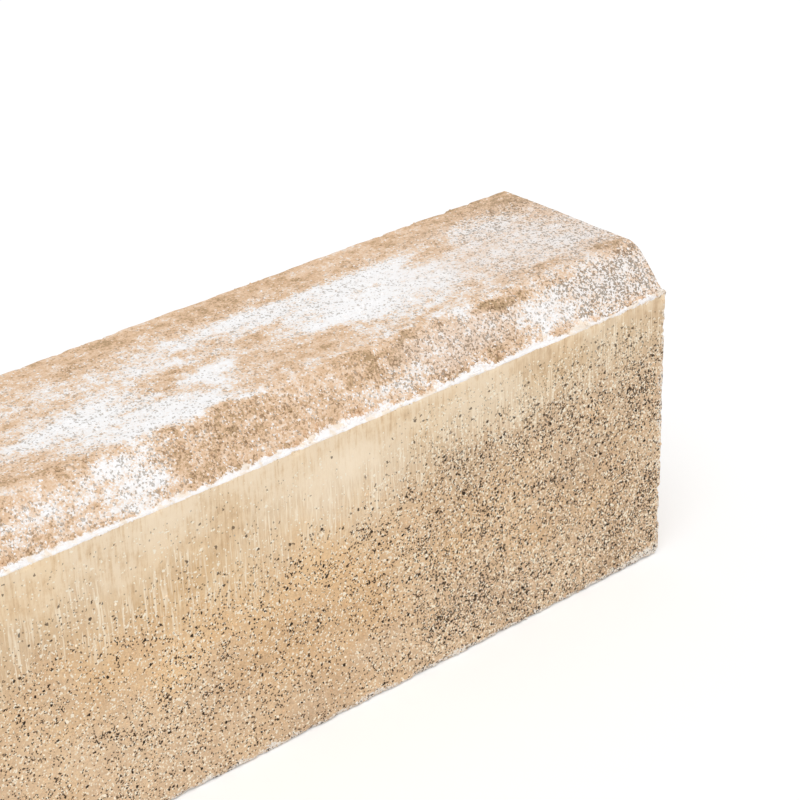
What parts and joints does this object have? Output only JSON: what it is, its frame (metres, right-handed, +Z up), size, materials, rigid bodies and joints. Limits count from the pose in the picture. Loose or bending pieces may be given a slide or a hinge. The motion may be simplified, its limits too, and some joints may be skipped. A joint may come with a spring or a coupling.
{
  "type": "concrete kerb stone",
  "caption": "Straight pressed-concrete kerb stone with a flat top, a bevelled road-side edge and upright faces, laid end to end to edge a road or path.",
  "frame": {"origin": "middle of the bed face, on the ground", "axes": "+X along the kerb, -Y towards the road, +Z up"},
  "size_m": [1, 0.15, 0.22],
  "materials": {
    "concrete": "rough pressed concrete, tan and brown mix with pale cement bloom on top"
  },
  "bodies": {
    "root": {"kerb_stone": "concrete"}
  },
  "joints": []
}
